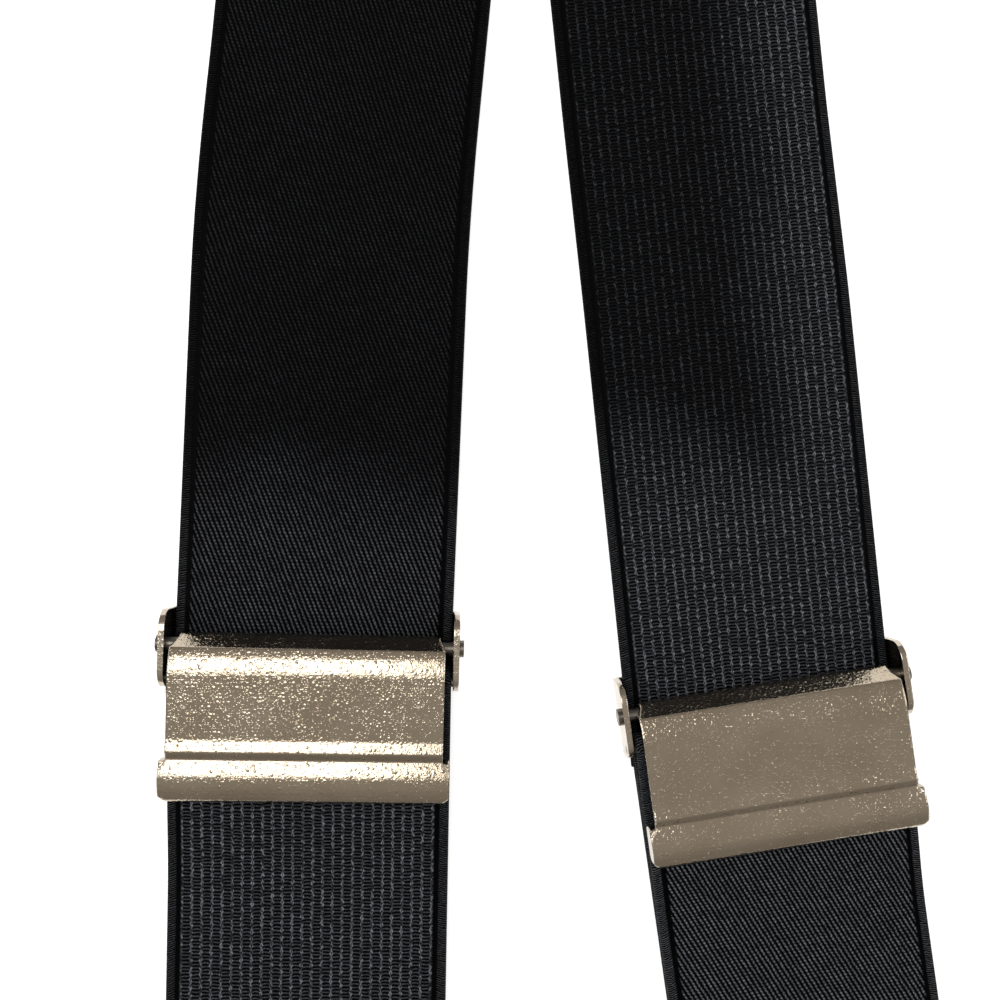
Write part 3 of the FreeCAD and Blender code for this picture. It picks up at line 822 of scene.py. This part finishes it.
metal = [name for name in frame["nodes"] if name.startswith(("adjuster_", "return_bar_"))
         or name.endswith(("_base", "_pin", "_lever"))]
threads = [name for name in frame["nodes"] if "stitching" in name]
pads = [name for name in frame["nodes"] if name.endswith("_pad")]
clothe(metal, NICKEL)
clothe([name for name in metal if name.endswith("_lever") or "_lever_" in name], NICKEL_PRESSED)
# pins and return bars take the darkened nickel, painted shade for the shafts in the gaps
clothe([name for name in metal if "_pin" in name or name.startswith("return_bar_")], PAINTED_SHADE_NICKEL)
clothe(threads, THREAD)
clothe(pads, PLASTIC)


# ------------------------------------------------------------------ floor, light and camera
# the point between the adjusters that the photo looks at
focus = Vector((-3.19, -395.07, 2.4)) * MM
FLOOR_REACH = 25.0
FLOOR_LEVEL = -0.0003
KEY_PLACE = Vector((-0.105, 0.075, 0))
KEY_HEIGHT = Vector((0, 0, 0.40))
SENSOR = 36.0
FOCAL_SHARE = 1.007
CAMERA_PLACE = Vector((-7.0, 0.0, 140.0))


def floor():
    """A white ground just below the object, far wider than any view."""
    mesh = bpy.data.meshes.new("floor")
    corners = [(x * FLOOR_REACH, y * FLOOR_REACH, FLOOR_LEVEL)
               for x, y in ((-1, -1), (1, -1), (1, 1), (-1, 1))]
    mesh.from_pydata(corners, [], [(0, 1, 2, 3)])
    plane = placed("floor", mesh)
    made, _, _ = new_material("floor", Roughness=0.9, Base_Color=(0.9, 0.9, 0.9, 1),
                              Emission_Color=(1, 1, 1, 1), Emission_Strength=0.6)
    mesh.materials.append(made)


def area_light(name, place, target, size, power, colour=(1, 1, 1)):
    light = bpy.data.lights.new(name, "AREA")
    light.shape = "RECTANGLE"
    light.size, light.size_y = size
    light.energy = power
    light.color = colour
    lamp = placed(name, light)
    lamp.location = place
    lamp.rotation_euler = (Vector(target) - Vector(place)).to_track_quat("-Z", "Y").to_euler()


def studio():
    """Warm surroundings, brighter overhead, a key light above the adjusters and a fill on each side."""
    world = bpy.data.worlds.new("studio")
    world.use_nodes = True
    tree = world.node_tree
    background = tree.nodes["Background"]
    background.inputs["Color"].default_value = (1.0, 0.93, 0.85, 1)
    sky = tree.nodes.new("ShaderNodeTexCoord")
    split = tree.nodes.new("ShaderNodeSeparateXYZ")
    tree.links.new(sky.outputs["Generated"], split.inputs[0])
    height = Field(tree, split.outputs["Z"]).rise(0.4, 0.98)
    tree.links.new((height * 0.16 + 0.29).socket, background.inputs["Strength"])
    bpy.context.scene.world = world
    bpy.context.scene.view_settings.view_transform = "Standard"
    area_light("key", focus + KEY_PLACE + KEY_HEIGHT, focus + KEY_PLACE, (0.185, 0.235), 0.55,
               (1.0, 0.985, 0.95))
    area_light("fill_left", focus + Vector((-1.3, 0.2, 1.0)), focus, (0.8, 0.8), 9.0)
    area_light("fill_right", focus + Vector((1.3, 0.2, 1.0)), focus, (0.8, 0.8), 9.0)


def photo_camera():
    """The photo's camera, almost straight above the adjusters."""
    lens = bpy.data.cameras.new("camera")
    lens.sensor_width = SENSOR
    lens.lens = SENSOR * FOCAL_SHARE
    lens.clip_start = 0.005
    camera = placed("camera", lens)
    camera.location = focus + CAMERA_PLACE * MM
    away = (camera.location - focus).normalized()
    right = Vector((0, 1, 0)).cross(away).normalized()
    camera.rotation_euler = Matrix((right, away.cross(right), away)).transposed().to_euler()
    bpy.context.scene.camera = camera


floor()
studio()
photo_camera()
